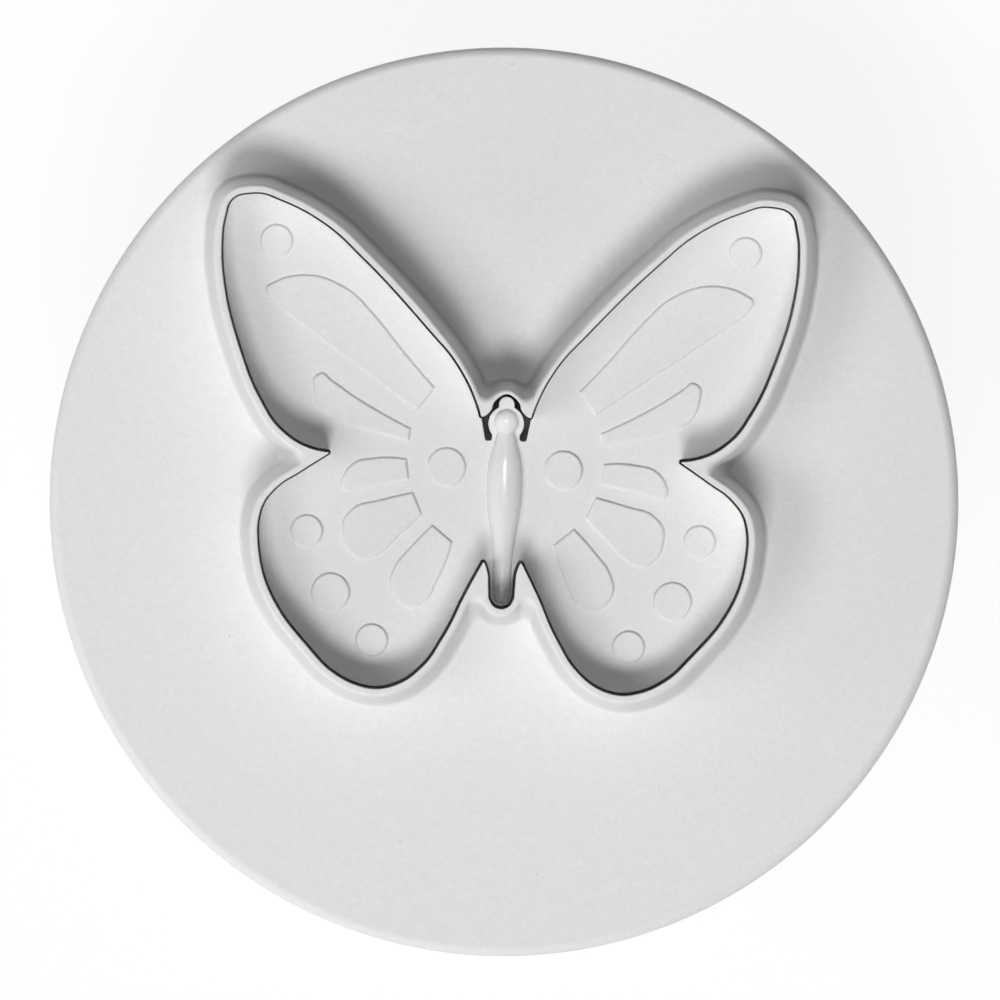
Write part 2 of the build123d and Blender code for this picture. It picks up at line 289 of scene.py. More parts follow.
class Tree:
    """Short ways to add shader nodes to one material or world."""

    def __init__(self, material):
        self.nodes = material.node_tree.nodes
        self.links = material.node_tree.links

    def add(self, kind, settings=None, **inputs):
        node = self.nodes.new("ShaderNode" + kind)
        for name, value in (settings or {}).items():
            setattr(node, name, value)
        for name, value in inputs.items():
            self.put(node.inputs[name.replace("_", " ")], value)
        return node

    def put(self, socket, value):
        if isinstance(value, bpy.types.NodeSocket):
            self.links.new(value, socket)
        else:
            socket.default_value = value

    def maths(self, operation, *values):
        node = self.nodes.new("ShaderNodeMath")
        node.operation = operation
        for socket, value in zip(node.inputs, values):
            self.put(socket, value)
        return node.outputs[0]

    def ramp(self, value, low, high):
        """0 below low and 1 above high, straight between them."""
        node = self.add("MapRange", {"clamp": True}, Value=value)
        node.inputs["From Min"].default_value = low
        node.inputs["From Max"].default_value = high
        return node.outputs[0]

    def within(self, value, low, high):
        """1 below low and 0 above high, straight between them."""
        return self.maths("SUBTRACT", 1.0, self.ramp(value, low, high))

    def away_from(self, across, up):
        """Distance in plan from a place, in millimetres."""
        x_part = self.maths("POWER", self.maths("SUBTRACT", self.x, across), 2.0)
        y_part = self.maths("POWER", self.maths("SUBTRACT", self.y, up), 2.0)
        return self.maths("SQRT", self.maths("ADD", x_part, y_part))

    def seen_direct(self):
        """1 for rays from the camera, straight or through gloss or glass, and 0 for the light's own."""
        path = self.add("LightPath")
        return self.maths("MAXIMUM", path.outputs["Is Camera Ray"], self.maths(
            "MAXIMUM", path.outputs["Is Glossy Ray"], path.outputs["Is Transmission Ray"]))

    def mix_shaders(self, share, first, second):
        node = self.add("MixShader")
        self.put(node.inputs[0], share)
        self.links.new(first.outputs[0], node.inputs[1])
        self.links.new(second.outputs[0], node.inputs[2])
        return node

    def finish(self, shader, kind="OutputMaterial"):
        self.links.new(shader.outputs[0], self.add(kind).inputs["Surface"])

    def mix(self, share, first, second):
        node = self.nodes.new("ShaderNodeMix")
        node.data_type = "RGBA"
        self.put(node.inputs[0], share)
        self.put(node.inputs[6], first)
        self.put(node.inputs[7], second)
        return node.outputs[2]

    def noise(self, scale, detail=2.0, roughness=0.5):
        """Noise with so many waves to a millimetre."""
        return self.add("TexNoise", None, Vector=self.place(), Scale=scale, Detail=detail,
                        Roughness=roughness).outputs["Fac"]

    def place(self):
        """The point in the part's frame, in millimetres, from the object's own coordinates."""
        if not hasattr(self, "place_socket"):
            coordinates = self.add("TexCoord").outputs["Object"]
            scaled = self.add("VectorMath", {"operation": "SCALE"}, Vector=coordinates)
            scaled.inputs["Scale"].default_value = 1 / MM
            self.place_socket = scaled.outputs[0]
            parts = self.add("SeparateXYZ", None, Vector=self.place_socket).outputs
            self.x, self.y, self.z = parts[0], parts[1], parts[2]
        return self.place_socket


def rgba(colour):
    return (*colour, 1.0)


# ---------------------------------------------------------------- materials

def tinted(tone, share):
    return rgba([value * share for value in tone])


def painted_gap_shade_mask(tree):
    """Where shade is painted: 1 on the upright sides of the gap round the plate, and on the disc's floor under
    the head's slots.
    """
    facing = tree.add("SeparateXYZ", None, Vector=tree.add("NewGeometry").outputs["True Normal"])
    upright = tree.within(tree.maths("ABSOLUTE", facing.outputs[2]), *UPRIGHT_LEAN)
    depth = tree.within(tree.z, *GAP_FADE)
    side = tree.maths("MULTIPLY", tree.maths("MULTIPLY", upright, depth), tree.ramp(tree.z, *GAP_FOOT))
    across = tree.within(tree.maths("ABSOLUTE", tree.x), *SLOT_FLOOR_ACROSS)
    up = tree.within(tree.maths("ABSOLUTE", tree.maths("SUBTRACT", tree.y, SLOT_FLOOR_MIDDLE)), *SLOT_FLOOR_UP)
    level = tree.within(tree.maths("ABSOLUTE", tree.maths("SUBTRACT", tree.z, DISC_FACE)), *SLOT_FLOOR_LEVEL)
    floor = tree.maths("MULTIPLY", tree.maths("MULTIPLY", across, up), level)
    return tree.maths("MAXIMUM", side, floor)


def moulded_plastic(name, tone, roughness, specular, relief=0.06, rings=(), specks=(), painted_gap_shade=False):
    """White plastic: a fine grain, faint mottling, light flecks, a slight relief, the marks asked for, and,
    where asked, painted shade in the gap round the plate.
    """
    material = new_material(name)
    tree = Tree(material)
    tree.place()
    grain = tree.ramp(tree.noise(2.0, detail=4.0, roughness=0.75), 0.35, 0.65)
    colour = tree.mix(grain, tinted(tone, 1.03), tinted(tone, 0.96))
    mottle = tree.ramp(tree.noise(0.12, detail=3.0), 0.35, 0.65)
    colour = tree.mix(tree.maths("MULTIPLY", mottle, 0.3), colour, tinted(tone, 0.98))
    flecks = tree.ramp(tree.noise(1.7, detail=3.0, roughness=0.8), 0.62, 0.68)
    colour = tree.mix(flecks, colour, tinted(tone, 1.06))
    height = tree.maths("MULTIPLY", tree.noise(2.2, detail=5.0, roughness=0.7), relief)
    waves = tree.maths("MULTIPLY", tree.noise(0.25, detail=1.0), relief)
    height = tree.maths("ADD", height, waves)
    for across, up, radius, depth in rings:
        off = tree.maths("ABSOLUTE", tree.maths("SUBTRACT", tree.away_from(across, up), radius))
        groove = tree.within(off, 0.0, RING_WIDTH)
        height = tree.maths("SUBTRACT", height, tree.maths("MULTIPLY", groove, depth))
    for across, up, radius in specks:
        dot = tree.within(tree.away_from(across, up), radius * 0.5, radius)
        colour = tree.mix(tree.maths("MULTIPLY", dot, SPECK_SHARE), colour, rgba(SPECK_TONE))
    # Painted shade: the gap round the plate and the floor under the head's slots are coloured dark
    if painted_gap_shade:
        colour = tree.mix(painted_gap_shade_mask(tree), colour, rgba(GAP_PAINTED_SHADE))
    bump = tree.add("Bump", None, Strength=0.5, Distance=MM, Height=height)
    shader = tree.add("BsdfPrincipled", None, Roughness=roughness, IOR=1.49)
    shader.inputs["Specular IOR Level"].default_value = specular
    tree.put(shader.inputs["Base Color"], colour)
    tree.put(shader.inputs["Normal"], bump.outputs[0])
    tree.finish(shader)
    return material


def drawn_steel():
    """Bright drawn wire: fine lines along it and a slight change of tone."""
    material = new_material("spring_steel")
    tree = Tree(material)
    tree.place()
    lines = tree.noise(14.0, detail=4.0, roughness=0.7)
    tone = tree.ramp(tree.noise(0.9), 0.3, 0.7)
    colour = tree.mix(tone, tinted(STEEL, 0.86), rgba(STEEL))
    bump = tree.add("Bump", None, Strength=0.25, Distance=0.02 * MM, Height=lines)
    rough = tree.add("MapRange", None, Value=lines)
    rough.inputs["To Min"].default_value = 0.22
    rough.inputs["To Max"].default_value = 0.42
    shader = tree.add("BsdfPrincipled", None, Metallic=1.0, Roughness=rough.outputs[0])
    tree.put(shader.inputs["Base Color"], colour)
    tree.put(shader.inputs["Normal"], bump.outputs[0])
    tree.finish(shader)
    return material


def floor_material():
    """A pale floor that the camera sees nearly white, with the object's shadow on it."""
    material = new_material("pale_floor")
    tree = Tree(material)
    tree.place()
    grain = tree.ramp(tree.noise(0.02, detail=3.0), 0.3, 0.7)
    colour = tree.mix(grain, tinted(FLOOR_WHITE, 0.97), rgba(FLOOR_WHITE))
    plain = tree.add("BsdfDiffuse", None, Color=colour)
    faint = tree.add("BsdfDiffuse", None, Color=rgba((0.12, 0.12, 0.12)))
    glow = tree.add("Emission", None, Color=rgba((1.0, 1.0, 1.0)), Strength=0.885)
    seen = tree.add("AddShader")
    tree.links.new(faint.outputs[0], seen.inputs[0])
    tree.links.new(glow.outputs[0], seen.inputs[1])
    tree.finish(tree.mix_shaders(tree.seen_direct(), plain, seen))
    return material


# ---------------------------------------------------------------- outlines, in millimetres

def ahead_of(points):
    """Unit directions from each point of a closed loop to the next."""
    steps = np.roll(points, -1, axis=0) - points
    return steps / np.linalg.norm(steps, axis=1)[:, None]


def turned(vector, angle):
    c, s = math.cos(angle), math.sin(angle)
    return np.array((vector[0] * c - vector[1] * s, vector[0] * s + vector[1] * c))


def over_waist(share):
    """A place along the body, from a share of the wings' rise or drop."""
    return WAIST + share * (WING_RISE if share > 0 else WING_DROP)


def arc(start, way, end):
    """Points of the arc that leaves start along way and ends at end, without its start."""
    chord = end - start
    turn = 2 * math.atan2(way[0] * chord[1] - way[1] * chord[0], way[0] * chord[0] + way[1] * chord[1])
    length = math.hypot(*chord)
    if abs(turn) < STRAIGHT_TURN:
        count = max(1, math.ceil(length / OUTLINE_STEP))
        return [start + chord * (k + 1) / count for k in range(count)]
    radius = length / (2 * math.sin(turn / 2))
    centre = start + np.array((-way[1], way[0])) * radius
    count = max(math.ceil(abs(radius * turn) / OUTLINE_STEP), math.ceil(abs(turn) / OUTLINE_TURN))
    arm, points = start - centre, []
    for k in range(count):
        points.append(centre + turned(arm, turn * (k + 1) / count))
    return points


def smooth_run(points):
    """A smooth curve of pairs of arcs through the points, as a fine run of points."""
    ways = []
    for before, point, after in zip(points, points[1:], points[2:]):
        coming, going = point - before, after - point
        mixed = coming * (np.linalg.norm(going) / np.linalg.norm(coming))
        mixed = mixed + going * (np.linalg.norm(coming) / np.linalg.norm(going))
        ways.append(mixed / np.linalg.norm(mixed))
    ends = []
    for end, neighbour, way in ((points[0], points[1], ways[0]), (points[-1], points[-2], ways[-1])):
        chord = (neighbour - end) / np.linalg.norm(neighbour - end)
        ends.append(chord * (2 * chord.dot(way)) - way)
    ways = [ends[0], *ways, ends[1]]
    line = [points[0]]
    for start, start_way, end, end_way in zip(points, ways, points[1:], ways[1:]):
        chord = end - start
        along = chord.dot(start_way + end_way)
        turn = 2 * (1 - start_way.dot(end_way))
        arm = chord.dot(chord) / (along + math.sqrt(along * along + turn * chord.dot(chord)))
        start_knee, end_knee = start + start_way * arm, end - end_way * arm
        middle = (start_knee + end_knee) / 2
        middle_way = (end_knee - start_knee) / np.linalg.norm(end_knee - start_knee)
        line += arc(start, start_way, middle) + arc(middle, middle_way, end)
    return line


def straight(start, end):
    """Points of a line, without its start."""
    return arc(start, (end - start) / np.linalg.norm(end - start), end)


def wing_points(shares):
    return [np.array((across * HALF_SPAN, over_waist(up))) for across, up in shares]


def mirror_points(points):
    return [np.array((-point[0], point[1])) for point in reversed(points)]


def tidy_loop(points):
    """A closed loop, anticlockwise, with no point twice."""
    loop = np.array(points)
    away = np.linalg.norm(loop - np.roll(loop, 1, axis=0), axis=1)
    loop = loop[away > SAME_PLACE]
    x, y = loop[:, 0], loop[:, 1]
    area = np.sum(x * np.roll(y, -1) - y * np.roll(x, -1))
    return loop if area > 0 else loop[::-1].copy()


def butterfly(head_shares, root_shares):
    """The whole outline from its right half, with the given head and wing root."""
    head = wing_points(head_shares)
    head = smooth_run(mirror_points(head[1:]) + head)
    upper = smooth_run(wing_points(root_shares + UPPER_WING))
    lower = smooth_run(wing_points(LOWER_WING))
    tail = wing_points(TAIL_CHANNEL)
    wing = straight(head[-1], upper[0]) + upper + straight(upper[-1], lower[0]) + lower
    wing += straight(lower[-1], tail[0])
    tail = smooth_run(tail + mirror_points(tail[:-1]))
    return tidy_loop(head + wing + tail + mirror_points(wing))


def circle(centre, radius, count):
    turns = 2 * math.pi * np.arange(count) / count
    return np.stack((centre[0] + radius * np.cos(turns), centre[1] + radius * np.sin(turns)), axis=1)


def far_from(points, loop):
    """Distance of each point from the loop's line."""
    start, run = loop, np.roll(loop, -1, axis=0) - loop
    square = np.sum(run * run, axis=1)
    offset = points[:, None, :] - start[None, :, :]
    share = np.clip(np.sum(offset * run[None], axis=2) / square[None], 0, 1)
    away = offset - share[:, :, None] * run[None]
    return np.sqrt(np.min(np.sum(away * away, axis=2), axis=1))


def crossing(a, b, c, d):
    """Where the lines a-b and c-d meet, or None."""
    first, second = b - a, d - c
    bottom = first[0] * second[1] - first[1] * second[0]
    if abs(bottom) < PARALLEL:
        return None
    share = ((c[0] - a[0]) * second[1] - (c[1] - a[1]) * second[0]) / bottom
    return a + first * share


def moved_out(loop, distance):
    """The loop a distance further out, or in where it is below zero, with round outer corners."""
    if distance == 0:
        return loop
    way = ahead_of(loop)
    normal = np.stack((way[:, 1], -way[:, 0]), axis=1)
    before = np.roll(normal, 1, axis=0)
    points = []
    for point, old, new in zip(loop, before, normal):
        turn = math.atan2(old[0] * new[1] - old[1] * new[0], old.dot(new))
        if turn * distance > 0:
            count = max(1, math.ceil(abs(turn) / OUTLINE_TURN))
            for k in range(count + 1 if count > 1 else 1):
                angle = turn * (k / count if count > 1 else 0.5)
                points.append(point + distance * turned(old, angle))
        else:
            middle = old + new
            if middle.dot(middle) > HAIRPIN:
                points.append(point + distance * 2 * middle / middle.dot(middle))
    points = np.array(points)
    kept = far_from(points, loop) > abs(distance) - OFFSET_SLACK
    count = len(points)
    result = []
    for k in range(count):
        if not kept[k]:
            continue
        result.append(points[k])
        if not kept[(k + 1) % count]:
            after = (k + 1) % count
            while not kept[after]:
                after = (after + 1) % count
            corner = crossing(points[k - 1], points[k], points[after], points[(after + 1) % count])
            if corner is not None and np.linalg.norm(corner - points[k]) < FARTHEST_CORNER:
                result.append(corner)
    return thinned(tidy_loop(result))


def thinned(loop):
    """The loop without points that lie closer together than a small step."""
    kept = [loop[0]]
    for point in loop[1:]:
        if np.linalg.norm(point - kept[-1]) > LEAST_STEP:
            kept.append(point)
    if np.linalg.norm(kept[-1] - kept[0]) < LEAST_STEP:
        kept.pop()
    return np.array(kept)


def softened(loop, distance, valley):
    """The loop moved out, with its inner corners rounded to a radius."""
    return moved_out(moved_out(loop, distance + valley), -valley)


def inside(points, loop):
    """Which points lie inside the closed loop."""
    if len(points) > POINTS_AT_ONCE:
        return np.concatenate([inside(points[k:k + POINTS_AT_ONCE], loop)
                               for k in range(0, len(points), POINTS_AT_ONCE)])
    x, y = points[:, 0][:, None], points[:, 1][:, None]
    ax, ay = loop[:, 0][None], loop[:, 1][None]
    bx, by = np.roll(loop[:, 0], -1)[None], np.roll(loop[:, 1], -1)[None]
    spans = (ay > y) != (by > y)
    with np.errstate(divide="ignore", invalid="ignore"):
        at = ax + (y - ay) * (bx - ax) / (by - ay)
    return np.sum(spans & (x < at), axis=1) % 2 == 1


# ---------------------------------------------------------------- meshes from loops and turned profiles

def keep_flats_flat(mesh):
    """Gives level faces, and the roundings that start from them, upright normals along their edges."""
    corner_count, face_count = len(mesh.loops), len(mesh.polygons)
    corner_normals = np.empty(corner_count * 3, np.float32)
    mesh.corner_normals.foreach_get("vector", corner_normals)
    corner_normals = corner_normals.reshape(-1, 3)
    face_normals = np.empty(face_count * 3, np.float32)
    mesh.polygons.foreach_get("normal", face_normals)
    face_normals = face_normals.reshape(-1, 3)
    sizes = np.empty(face_count, np.int32)
    mesh.polygons.foreach_get("loop_total", sizes)
    corner_vertex = np.empty(corner_count, np.int32)
    mesh.loops.foreach_get("vertex_index", corner_vertex)
    corner_face = np.repeat(np.arange(face_count), sizes)
    for way in (1.0, -1.0):
        level = (face_normals[:, 2] * way > LEVEL)[corner_face]
        touches = np.zeros(len(mesh.vertices), bool)
        touches[corner_vertex[level]] = True
        upright = level | (touches[corner_vertex] & (corner_normals[:, 2] * way > STEEPEST_ROUNDING))
        corner_normals[upright] = (0.0, 0.0, way)
    mesh.normals_split_custom_set([tuple(float(value) for value in normal) for normal in corner_normals])


class Shell:
    """Collects vertices and faces, in millimetres, and makes one object of them."""

    def __init__(self):
        self.vertices, self.faces, self.slots = [], [], []

    def take(self, vertices, faces, slot=0):
        first = len(self.vertices)
        self.vertices += [tuple(float(value) for value in vertex) for vertex in vertices]
        self.faces += [tuple(first + corner for corner in face) for face in faces]
        self.slots += [slot] * len(faces)

    def fill(self, loops, heights, outside_of=(), within=None, down=False):
        """Triangles between loops that each lie at a height, a height field over the plane."""
        points = [Vector((float(x), float(y))) for loop in loops for x, y in loop]
        level = np.array([height for loop, height in zip(loops, heights) for _ in loop])
        edges, first = [], 0
        for loop in loops:
            count = len(loop)
            edges += [(first + k, first + (k + 1) % count) for k in range(count)]
            first += count
        flat, _, faces, origin, _, _ = delaunay_2d_cdt(points, edges, [], 0, MESH_SNAP)
        given = np.array([tuple(point) for point in points])
        high = []
        for point, source in zip(flat, origin):
            nearest = source[0] if source else np.argmin(np.sum((given - np.array(tuple(point))) ** 2, axis=1))
            high.append(level[nearest])
        middles = np.array([[sum(flat[k][0] for k in face) / 3, sum(flat[k][1] for k in face) / 3]
                            for face in faces])
        kept = np.ones(len(faces), bool) if within is None else inside(middles, within)
        for hole in outside_of:
            kept &= ~inside(middles, hole)
        faces = [tuple(reversed(face)) if down else tuple(face) for face, keep in zip(faces, kept) if keep]
        self.take([(point[0], point[1], z) for point, z in zip(flat, high)], faces)

    def wall(self, loop, top, bottom, faces_in=False):
        """An upright wall along a loop that runs anticlockwise."""
        count = len(loop)
        vertices = [(x, y, top) for x, y in loop] + [(x, y, bottom) for x, y in loop]
        faces = []
        for k in range(count):
            after = (k + 1) % count
            face = (k, k + count, after + count, after)
            faces.append(tuple(reversed(face)) if faces_in else face)
        self.take(vertices, faces)

    def turn(self, profile, segments=TURNED_SEGMENTS):
        """A surface turned about Z, from points of radius and height in the order that keeps the
        material on their left."""
        vertices, rows = [], []
        for radius, height in profile:
            rows.append(len(vertices))
            if radius == 0:
                vertices.append((0, 0, height))
                continue
            for x, y in circle((0, 0), radius, segments):
                vertices.append((x, y, height))
        faces = []
        for (r0, _), (r1, _), low, high in zip(profile, profile[1:], rows, rows[1:]):
            for k in range(segments):
                after = (k + 1) % segments
                if r0 == 0:
                    faces.append((low, high + k, high + after)[::-1])
                elif r1 == 0:
                    faces.append((low + k, low + after, high))
                else:
                    faces.append((low + k, low + after, high + after, high + k))
        self.take(vertices, faces)

    def make(self, name, materials):
        """Welds the faces into one mesh and makes an object of it, with sharp and smooth edges."""
        build = bmesh.new()
        corners = [build.verts.new([value * MM for value in vertex]) for vertex in self.vertices]
        for face, slot in zip(self.faces, self.slots):
            build.faces.new([corners[k] for k in face]).material_index = slot
        bmesh.ops.remove_doubles(build, verts=build.verts, dist=WELD_DISTANCE * MM)
        bmesh.ops.dissolve_degenerate(build, edges=build.edges, dist=LEAST_EDGE * MM)
        mesh = bpy.data.meshes.new(name)
        build.to_mesh(mesh)
        build.free()
        mesh.polygons.foreach_set("use_smooth", [True] * len(mesh.polygons))
        mesh.set_sharp_from_angle(angle=math.radians(SHARP_FROM))
        keep_flats_flat(mesh)
        for material in materials:
            mesh.materials.append(material)
        piece = bpy.data.objects.new(name, mesh)
        bpy.context.scene.collection.objects.link(piece)
        return piece


def rounded(corners):
    """A profile with its corners rounded: each corner is radius, height and rounding."""
    profile = []
    for k, (x, z, rounding) in enumerate(corners):
        here = np.array((x, z), float)
        if rounding == 0:
            profile.append((x, z))
            continue
        back = np.array(corners[k - 1][:2], float) - here
        on = np.array(corners[k + 1][:2], float) - here
        back, on = back / np.linalg.norm(back), on / np.linalg.norm(on)
        half = math.acos(np.clip(back.dot(on), -1, 1)) / 2
        start = here + back * rounding / math.tan(half)
        bisector = (back + on) / np.linalg.norm(back + on)
        centre = here + bisector * rounding / math.sin(half)
        first = start - centre
        turn = math.pi - 2 * half
        if back[0] * on[1] - back[1] * on[0] > 0:
            turn = -turn
        count = max(3, math.ceil(abs(turn) / PROFILE_TURN))
        for step in range(count + 1):
            profile.append(tuple(centre + turned(first, turn * step / count)))
    return profile


# ---------------------------------------------------------------- moulded pieces

def make_cutter(cavity, material):
    """The press disc with its guide tube, and the cutting wall round the cavity on its face."""
    shell = Shell()
    wall_outline = butterfly(THIN_HEAD, THIN_ROOT)
    loops, heights = [], []
    for distance, drop in LIP_INNER_EDGE:
        loops.append(moved_out(cavity, distance))
        heights.append(CUTTING_EDGE - drop)
    for distance, height in WALL_PROFILE:
        loops.append(softened(wall_outline, distance, VALLEY_ROUNDING))
        heights.append(height)
    for radius in (DISC_RADIUS - RIM_ROUNDING - RIM_RING, DISC_RADIUS - RIM_ROUNDING):
        loops.append(circle((0, 0), radius, TURNED_SEGMENTS))
        heights.append(DISC_FACE)
    shell.fill(loops, heights, outside_of=[cavity])
    shell.wall(cavity, heights[0], DISC_FACE, faces_in=True)
    bore = circle((0, 0), BORE_RADIUS, TURNED_SEGMENTS)
    shell.fill([cavity, bore], [DISC_FACE, DISC_FACE], outside_of=[bore], within=cavity)
    shell.turn(rounded([
        (BORE_RADIUS, DISC_FACE, 0), (BORE_RADIUS, SPRING_HIGH, 0), (POCKET_RADIUS, SPRING_HIGH, 0),
        (POCKET_RADIUS, TUBE_END, POCKET_MOUTH_ROUNDING), (TUBE_RADIUS, TUBE_END, TUBE_RIM_ROUNDING),
        (TUBE_RADIUS, DISC_BACK, TUBE_ROOT_ROUNDING), (DISC_RADIUS, DISC_BACK, DISC_BACK_ROUNDING),
        (DISC_RADIUS, DISC_FACE, RIM_ROUNDING), (0, DISC_FACE, 0),
    ])[:-1])
    piece = shell.make("cutter_moulding", [material])
    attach(piece, "cutter")
    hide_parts("cutter_body")


def plate_outline(cavity):
    """The plate's outline, a little inside the cavity, with the head standing free in its window."""
    room = moved_out(cavity, -PLATE_PLAY) + np.array(PLATE_SHIFT)
    prong = wing_points(WING_ROOT)[0]
    bottom = WAIST + SLOT_BOTTOM
    window = np.array([(-SLOT_HALF_WIDTH, bottom), (SLOT_HALF_WIDTH, bottom), prong, (prong[0], WINDOW_TOP),
                       (-prong[0], WINDOW_TOP), (-prong[0], prong[1])])
    free = ~inside(room, window)
    start = next(k for k in range(len(room)) if free[k] and not free[k - 1])
    room, free = np.roll(room, -start, axis=0), np.roll(free, -start)
    wings = list(room[free])
    slot = np.array((SLOT_HALF_WIDTH, bottom))
    left_end = crossing(room[-1], room[0], slot * (-1, 1), prong * (-1, 1))
    right_end = crossing(wings[-1], room[len(wings)], slot, prong)
    lobe_low = -math.acos(NECK_HALF_WIDTH / LOBE_RADIUS)
    lobe_high = math.acos(NUB_HALF_WIDTH / LOBE_RADIUS)
    lobe_y, nub_y = WAIST + LOBE_RISE, WAIST + NUB_RISE - NUB_HALF_WIDTH
    neck_y = lobe_y + LOBE_RADIUS * math.sin(lobe_low)
    side = [np.array(point) for point in rounded([
        (*right_end, 0), (*slot, SLOT_ROUNDING), (NECK_HALF_WIDTH, bottom, SLOT_ROUNDING),
        (NECK_HALF_WIDTH, neck_y, 0)])]
    for k in range(1, LOBE_STEPS + 1):
        angle = lobe_low + (lobe_high - lobe_low) * k / LOBE_STEPS
        side.append(np.array((LOBE_RADIUS * math.cos(angle), lobe_y + LOBE_RADIUS * math.sin(angle))))
    for k in range(NUB_STEPS + 1):
        angle = math.pi / 2 * k / NUB_STEPS
        side.append(np.array((NUB_HALF_WIDTH * math.cos(angle), nub_y + NUB_HALF_WIDTH * math.sin(angle))))
    other = mirror_points(side[:-1])
    other[-1] = left_end
    return tidy_loop(wings + side + other)


def raised_pads():
    """The outlines of the raised cells and dots of both wings."""
    pads = []
    for shares in CELLS:
        line = smooth_run(wing_points(shares))
        pads.append(line + straight(line[-1], line[0]))
    for shares, radius in ((DOTS, DOT_RADIUS), (LARGE_DOTS, LARGE_DOT_RADIUS)):
        pads += [list(circle(place, radius, DOT_SEGMENTS)) for place in wing_points(shares)]
    pads = [tidy_loop(pad) for pad in pads]
    return pads + [tidy_loop(mirror_points(pad)) for pad in pads]


def body_ridge(shell):
    """The body and the ball of the head, half sunk in the plate; returns the line round them."""
    line = smooth_run([np.array((width * RIDGE_HALF_WIDTH, over_waist(up))) for width, up in RIDGE])
    line = np.array(line)[::-1]
    ball_y = WAIST + BALL_RISE
    top, tail = ball_y + BALL_RADIUS, line[0][1]
    rows, columns = RIDGE_ROWS, RIDGE_COLUMNS
    places = tail + (top - tail) * (1 - np.cos(math.pi * np.arange(rows + 1) / rows)) / 2
    ridge = np.interp(places, line[:, 1], line[:, 0], right=0.0)
    ball = np.sqrt(np.maximum(BALL_RADIUS ** 2 - (places - ball_y) ** 2, 0))
    radii = (ridge ** RIDGE_BLEND + ball ** RIDGE_BLEND) ** (1 / RIDGE_BLEND)
    inner = range(1, rows)
    vertices = [(0, places[0], PLATE_TOP)]
    for k in inner:
        for step in range(columns + 1):
            angle = math.pi * step / columns
            rise = RIDGE_FLATNESS * radii[k] * math.sin(angle)
            vertices.append((radii[k] * math.cos(angle), places[k], PLATE_TOP + rise))
    last = len(vertices)
    vertices.append((0, places[-1], PLATE_TOP))
    faces = []
    for step in range(columns):
        faces.append((0, 1 + step, 2 + step))
        end = last - columns - 1 + step
        faces.append((end, last, end + 1))
    for k in range(rows - 2):
        for step in range(columns):
            a = 1 + k * (columns + 1) + step
            b = a + columns + 1
            faces.append((a, b, b + 1, a + 1))
    shell.take(vertices, faces, slot=1)
    right = [(radii[k], places[k]) for k in inner]
    left = [(-radii[k], places[k]) for k in reversed(inner)]
    return np.array([(0, places[0]), *right, (0, places[-1]), *left])


def rib_cross():
    """The section of the stem: a round bar cut down to a cross of ribs."""
    half, reach = RIB_THICKNESS / 2, math.asin(RIB_THICKNESS / 2 / STEM_RADIUS)
    points = []
    for quarter in range(4):
        for k in range(RIB_END_STEPS + 1):
            angle = quarter * math.pi / 2 - reach + 2 * reach * k / RIB_END_STEPS
            points.append((STEM_RADIUS * math.cos(angle), STEM_RADIUS * math.sin(angle)))
        angle = quarter * math.pi / 2 + math.pi / 4
        points.append((half * math.sqrt(2) * math.cos(angle), half * math.sqrt(2) * math.sin(angle)))
    return tidy_loop(points)


def make_embosser(cavity, material, polished):
    """The embossing plate with its pads, ridge and head, and the ribbed stem behind it."""
    shell = Shell()
    outline = plate_outline(cavity)
    loops, heights = [outline], [PLATE_TOP - PLATE_EDGE[0][1]]
    for distance, drop in PLATE_EDGE[1:]:
        loops.append(moved_out(outline, -distance))
        heights.append(PLATE_TOP - drop)
    ridge_foot = body_ridge(shell)
    loops.append(ridge_foot)
    heights.append(PLATE_TOP)
    for pad in raised_pads():
        for distance, rise in PAD_PROFILE:
            loops.append(moved_out(pad, -distance))
            heights.append(PLATE_TOP + rise)
    shell.fill(loops, heights, outside_of=[ridge_foot], within=outline)
    shell.wall(outline, heights[0], DISC_FACE)
    cross = rib_cross()
    shell.fill([outline, cross], [DISC_FACE, DISC_FACE], outside_of=[cross], within=outline, down=True)
    shell.wall(cross, DISC_FACE, HUB_TOP)
    shell.fill([cross], [HUB_TOP], within=cross, down=True)
    shell.turn(rounded([(0, SPIGOT_END, 0), (SPIGOT_RADIUS, SPIGOT_END, SPIGOT_ROUNDING),
                        (SPIGOT_RADIUS, HUB_TOP, 0), (0, HUB_TOP, 0)]), SPIGOT_SEGMENTS)
    piece = shell.make("embosser_moulding", [material, polished])
    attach(piece, "plunger")
    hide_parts("embosser_plunger")


def make_knob(material):
    """The flange to push on, and the hub with the spring's pocket and the stem's socket."""
    shell = Shell()
    shell.turn(rounded([
        (0, 0, 0), (KNOB_RADIUS, 0, KNOB_ROUNDING), (KNOB_RADIUS, KNOB_THICKNESS, KNOB_ROUNDING),
        (HUB_RADIUS, KNOB_THICKNESS, HUB_ROOT_ROUNDING), (HUB_RADIUS, HUB_TOP, HUB_RIM_ROUNDING),
        (POCKET_RADIUS, HUB_TOP, HUB_INNER_ROUNDING), (POCKET_RADIUS, SPRING_LOW, 0),
        (HUB_POST_RADIUS, SPRING_LOW, 0), (HUB_POST_RADIUS, HUB_TOP, HUB_INNER_ROUNDING),
        (SOCKET_RADIUS, HUB_TOP, SOCKET_MOUTH_ROUNDING), (SOCKET_RADIUS, SOCKET_END, 0), (0, SOCKET_END, 0),
    ]), KNOB_SEGMENTS)
    piece = shell.make("knob_moulding", [material])
    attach(piece, "plunger")
    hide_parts("push_knob")


# ---------------------------------------------------------------- return spring

# Millimetres, turns and counts; the end turns lie close, and the open turns share the rest of the length
COIL_RADIUS = 5.35
WIRE_RADIUS = 0.4
SEAT_GAP = 0.05
END_PITCH = 1.3
END_TURNS = 1
OPEN_TURNS = 3
STEPS_A_TURN = 56
WIRE_SIDES = 14


